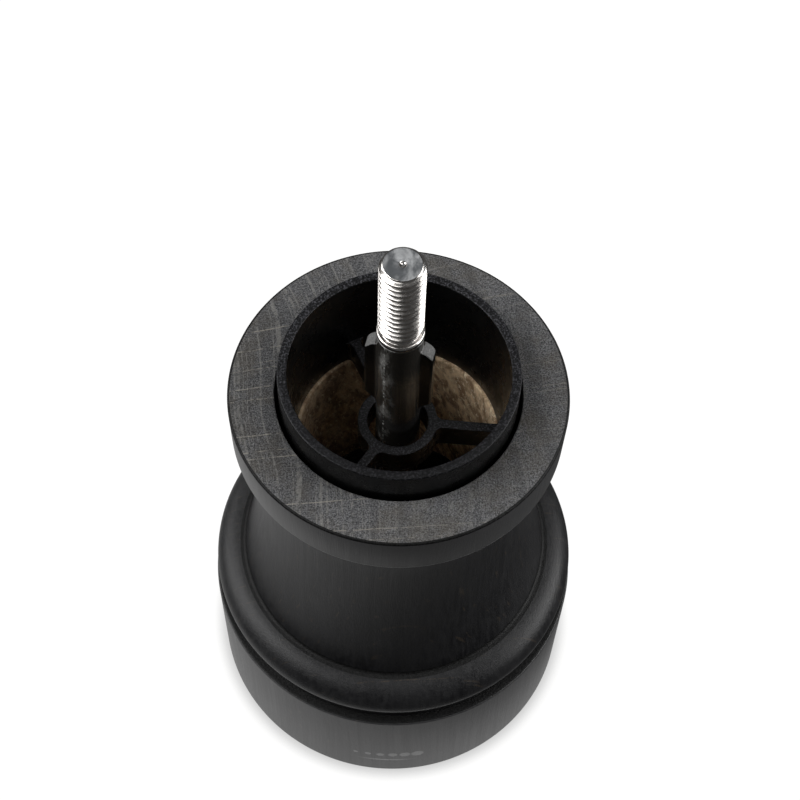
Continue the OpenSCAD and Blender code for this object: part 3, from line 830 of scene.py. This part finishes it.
def smooth_max(a, b, blend):
    """The larger of two lengths, eased over blend where they meet."""
    share = max(blend - abs(a - b), 0) / blend
    return max(a, b) + share * share * blend / 4


def wing_reach(z):
    """How far a wing stands from the axis at height z."""
    if z < WING_LOW or z > WING_TOP:
        return 0.0
    if z < WING_LOW + WING_TAPER:
        return STEM_R + (WING_REACH - STEM_R) * (z - WING_LOW) / WING_TAPER
    start = WING_TOP - WING_CORNER
    if z < start:
        return WING_REACH
    return WING_REACH - WING_CORNER + math.sqrt(max(WING_CORNER ** 2 - (z - start) ** 2, 0))


def plate_radius(angle, reach):
    """Distance from the axis to a plate's rounded outline, at an angle from the plate's middle."""
    if not reach:
        return 0.0
    c, s = abs(math.cos(angle)), abs(math.sin(angle))
    cx, cy = reach - WING_EDGE, WING_HALF_T - WING_EDGE
    if s * reach <= cy * c:
        return reach / c
    if c * WING_HALF_T <= cx * s:
        return WING_HALF_T / s
    along = cx * c + cy * s
    return along + math.sqrt(max(WING_EDGE * WING_EDGE - (cx * cx + cy * cy - along * along), 0))


def sleeve():
    """Moulded sleeve: round stem with two plates, filleted where they grow out of it."""
    smooth, pale_edge = range(2)
    top = SLEEVE_HIGH.z
    corner = WING_TOP - WING_CORNER
    near = [0.5 * i for i in range(-2 * WING_SPAN, 2 * WING_SPAN + 1)]
    wide = [WING_SPAN + (180 - 2 * WING_SPAN) * i / STEM_STEPS for i in range(1, STEM_STEPS)]
    angles = near + wide + [a + 180 for a in near] + [a + 180 for a in wide]
    turns = [math.radians(a + WING_ANGLE) for a in angles]
    # Rows: foot, taper, straight part, rounded corner, and the top above the wings
    levels = [SLEEVE_LOW.z + 0.3 * i for i in range(3)]
    levels += [WING_LOW + 0.1 * i for i in range(24)]
    levels += [WING_LOW + 2.4 + 0.8 * i for i in range(12)]
    levels += [corner + WING_CORNER * math.sin(math.radians(5 * i)) for i in range(19)]
    levels += [WING_TOP + 0.3, top - 0.35, top - 0.1]
    rings = []
    for z in sorted(set(levels)):
        reach = wing_reach(z)
        radii = [smooth_max(STEM_R, plate_radius(math.radians(a), reach), STEM_FILLET) for a in angles]
        rings.append(ring_of(radii, turns, z))
    for inset in (0.12, 1.0):
        rings.append(ring_of([STEM_R - inset] * len(turns), turns, top))

    # Upward faces of the wings' tops get a lighter grey plastic
    def pick(radius, height, slope):
        return pale_edge if radius > STEM_R + 0.15 and height > corner and slope > 0.25 else smooth

    piece = finish_mesh(skin(rings, loop=False), "driving_sleeve", sharp=50)
    place(piece, "shaft", [SHAFT, WING_TOP_GREY], "wing_sleeve")
    paint(piece, pick)


sleeve()

# ---------------------------------------------------------------- spring

SPRING_WIRE = 0.7
SPRING_TURNS = 4
SPRING_STEPS = 48
WIRE_SIDES = 16


def burr_spring():
    """Round-wire coil from the bar, which stays still, down to the seat, which drops with the bridge."""
    wire_r = SPRING_WIRE / 2
    coil_r = SPRING_HIGH.x - wire_r
    bottom, top = SPRING_LOW.z + wire_r, SPRING_HIGH.z - wire_r
    steps = SPRING_TURNS * SPRING_STEPS
    rings = []
    for i in range(steps + 1):
        turn = 2 * math.pi * i / SPRING_STEPS
        section = circle(coil_r, bottom + (top - bottom) * i / steps, wire_r, WIRE_SIDES)
        rings.append([(r * math.cos(turn), r * math.sin(turn), z) for r, z in section])
    piece = finish_mesh(skin(rings, loop=False), "burr_spring_coil")
    piece.data.materials.append(SPRING_STEEL)
    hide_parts("burr_spring")
    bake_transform(piece)


burr_spring()

# ---------------------------------------------------------------- CAD nodes that keep their shape

FINISHES = {
    "mechanism_housing": HOUSING, "cam_ring": HOUSING, "bearing_bridge": HOUSING,
    "drive_shaft": SHAFT, "spring_seat": NYLON, "bearing_bush": BRONZE,
    "ring_burr": BURR_STEEL, "cone_burr": BURR_STEEL,
    "spring_bar": ZINC, "housing_screws": ZINC, "band_screws": ZINC,
    "end_screw": ZINC, "end_washer": ZINC, "thrust_washer": ZINC,
    "burr_circlip": SPRING_STEEL, "cam_clip_ring": SPRING_STEEL, "detent_spring": SPRING_STEEL,
    "detent_ball": STAINLESS, "follower_pins": STAINLESS,
}
for node, finish in FINISHES.items():
    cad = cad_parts[node]
    cad.data.materials.clear()
    cad.data.materials.append(finish)

# ---------------------------------------------------------------- floor, light and camera

FLOOR_HALF = 3.0
# Bright part of the table round the foot, in mm, and how strongly it and the rest of the table shine on
# the mill
SHEET_AT = (-20, 2)
SHEET_R = 42
SHEET_FADE = 24
SHEET_GLOW = 0.62
TABLE_GLOW = 0.03
# Shade where the foot meets the table: its reach in mm, how open the table is at its darkest and where the
# shade ends, and how bright the table is at its darkest
CONTACT_REACH = 4
CONTACT_DARK = 0.45
CONTACT_CLEAR = 0.9
CONTACT_SHADE = 0.6
STUDIO_GLOW = 0.05

# The softboxes stand a metre from this point, which is in metres
LIT_POINT = Vector((0, 0, 0.06))

# Camera: the point it looks at and its distance in metres, its tilt and roll in radians, its lens in mm
AIM = Vector((0.21, 0, 71.9)) * MM
CAMERA_DISTANCE = 0.2305
CAMERA_ELEVATION = math.radians(59.56)
CAMERA_ROLL = 0.0347
LENS = 75.95
SENSOR = 36


def floor():
    """White to the camera but for a shade round the foot; a bright sheet there gives nearly all its light."""
    half = FLOOR_HALF
    corners = [(-half, -half, 0), (half, -half, 0), (half, half, 0), (-half, half, 0)]
    mesh = bpy.data.meshes.new("floor")
    mesh.from_pydata(corners, [], [(0, 1, 2, 3)])
    g = Graph("white_table", specular=0.0)
    g.set("Base Color", (0.05, 0.05, 0.05, 1))
    g.set("Roughness", 0.9)
    g.set("Emission Color", (1.0, 0.998, 0.994, 1))
    reach = g.vector("DISTANCE", g.at, (*SHEET_AT, 0))
    lit = g.span(reach, SHEET_R, SHEET_R + SHEET_FADE, SHEET_GLOW, TABLE_GLOW)
    contact = g.tree.nodes.new("ShaderNodeAmbientOcclusion")
    contact.inputs["Distance"].default_value = CONTACT_REACH * MM
    white = g.span(contact.outputs["AO"], CONTACT_DARK, CONTACT_CLEAR, CONTACT_SHADE, 1)
    seen = g.tree.nodes.new("ShaderNodeLightPath").outputs["Is Camera Ray"]
    change = g.times(seen, g.math("SUBTRACT", white, lit))
    g.set("Emission Strength", g.math("ADD", lit, change))
    mesh.materials.append(g.material)
    add_object("floor", mesh)


def softbox(name, toward, along, length, width, radiance):
    """Rectangular softbox a metre from the mill in the direction toward, its length turned along."""
    back = Vector(toward).normalized()
    side = Vector(along)
    long_side = (side - back * side.dot(back)).normalized()
    data = bpy.data.lights.new(name, "AREA")
    data.shape = "RECTANGLE"
    data.size, data.size_y = length, width
    data.energy = radiance * math.pi * length * width
    turn = Matrix((long_side, back.cross(long_side), back)).transposed().to_4x4()
    turn.translation = LIT_POINT + back
    add_object(name, data).matrix_world = turn


def camera():
    """Looks down at the open top from the front, rolled slightly."""
    ahead = Vector((0, math.cos(CAMERA_ELEVATION), -math.sin(CAMERA_ELEVATION)))
    level = Vector((1, 0, 0))
    upright = Vector((0, math.sin(CAMERA_ELEVATION), math.cos(CAMERA_ELEVATION)))
    right = math.cos(CAMERA_ROLL) * level + math.sin(CAMERA_ROLL) * upright
    up = -math.sin(CAMERA_ROLL) * level + math.cos(CAMERA_ROLL) * upright
    data = bpy.data.cameras.new("camera")
    data.lens = LENS
    data.sensor_width = SENSOR
    data.clip_start = 0.01
    eye = add_object("camera", data)
    place_at = Matrix((right, up, -ahead)).transposed().to_4x4()
    place_at.translation = AIM - ahead * CAMERA_DISTANCE
    eye.matrix_world = place_at
    bpy.context.scene.camera = eye


def surroundings():
    """Studio round the table: white where it is seen past the floor, and nearly dark as a light."""
    world = bpy.data.worlds.new("studio")
    world.use_nodes = True
    nodes, links = world.node_tree.nodes, world.node_tree.links
    seen = nodes.new("ShaderNodeLightPath").outputs["Is Camera Ray"]
    strength = nodes.new("ShaderNodeMath")
    strength.operation = "MAXIMUM"
    strength.inputs[1].default_value = STUDIO_GLOW
    links.new(seen, strength.inputs[0])
    links.new(strength.outputs[0], nodes["Background"].inputs["Strength"])
    nodes["Background"].inputs["Color"].default_value = (1, 1, 1, 1)
    bpy.context.scene.world = world


floor()
softbox("key", (-0.70, -0.02, 0.71), (0.22, -0.48, 0.21), 0.58, 0.52, 6.3)
softbox("key_front", (-0.37, -0.385, 0.85), (0.42, -0.215, 0.08), 0.36, 0.26, 2.8)
softbox("right", (0.745, 0.08, 0.66), (0.11, 0.38, -0.16), 0.40, 0.32, 3.8)
softbox("left_low", (-0.95, 0.20, 0.25), (0, 1, 0), 0.9, 0.35, 3.4)
softbox("right_low", (0.94, 0.05, 0.33), (0, 1, 0), 0.8, 0.40, 6.2)
softbox("top", (0.28, 0.12, 0.95), (1, 0, 0), 0.36, 0.30, 3.4)
softbox("back", (-0.10, 0.66, 0.74), (1, 0, 0), 0.8, 0.4, 0.7)
camera()
surroundings()
bpy.context.scene.view_settings.view_transform = "Standard"
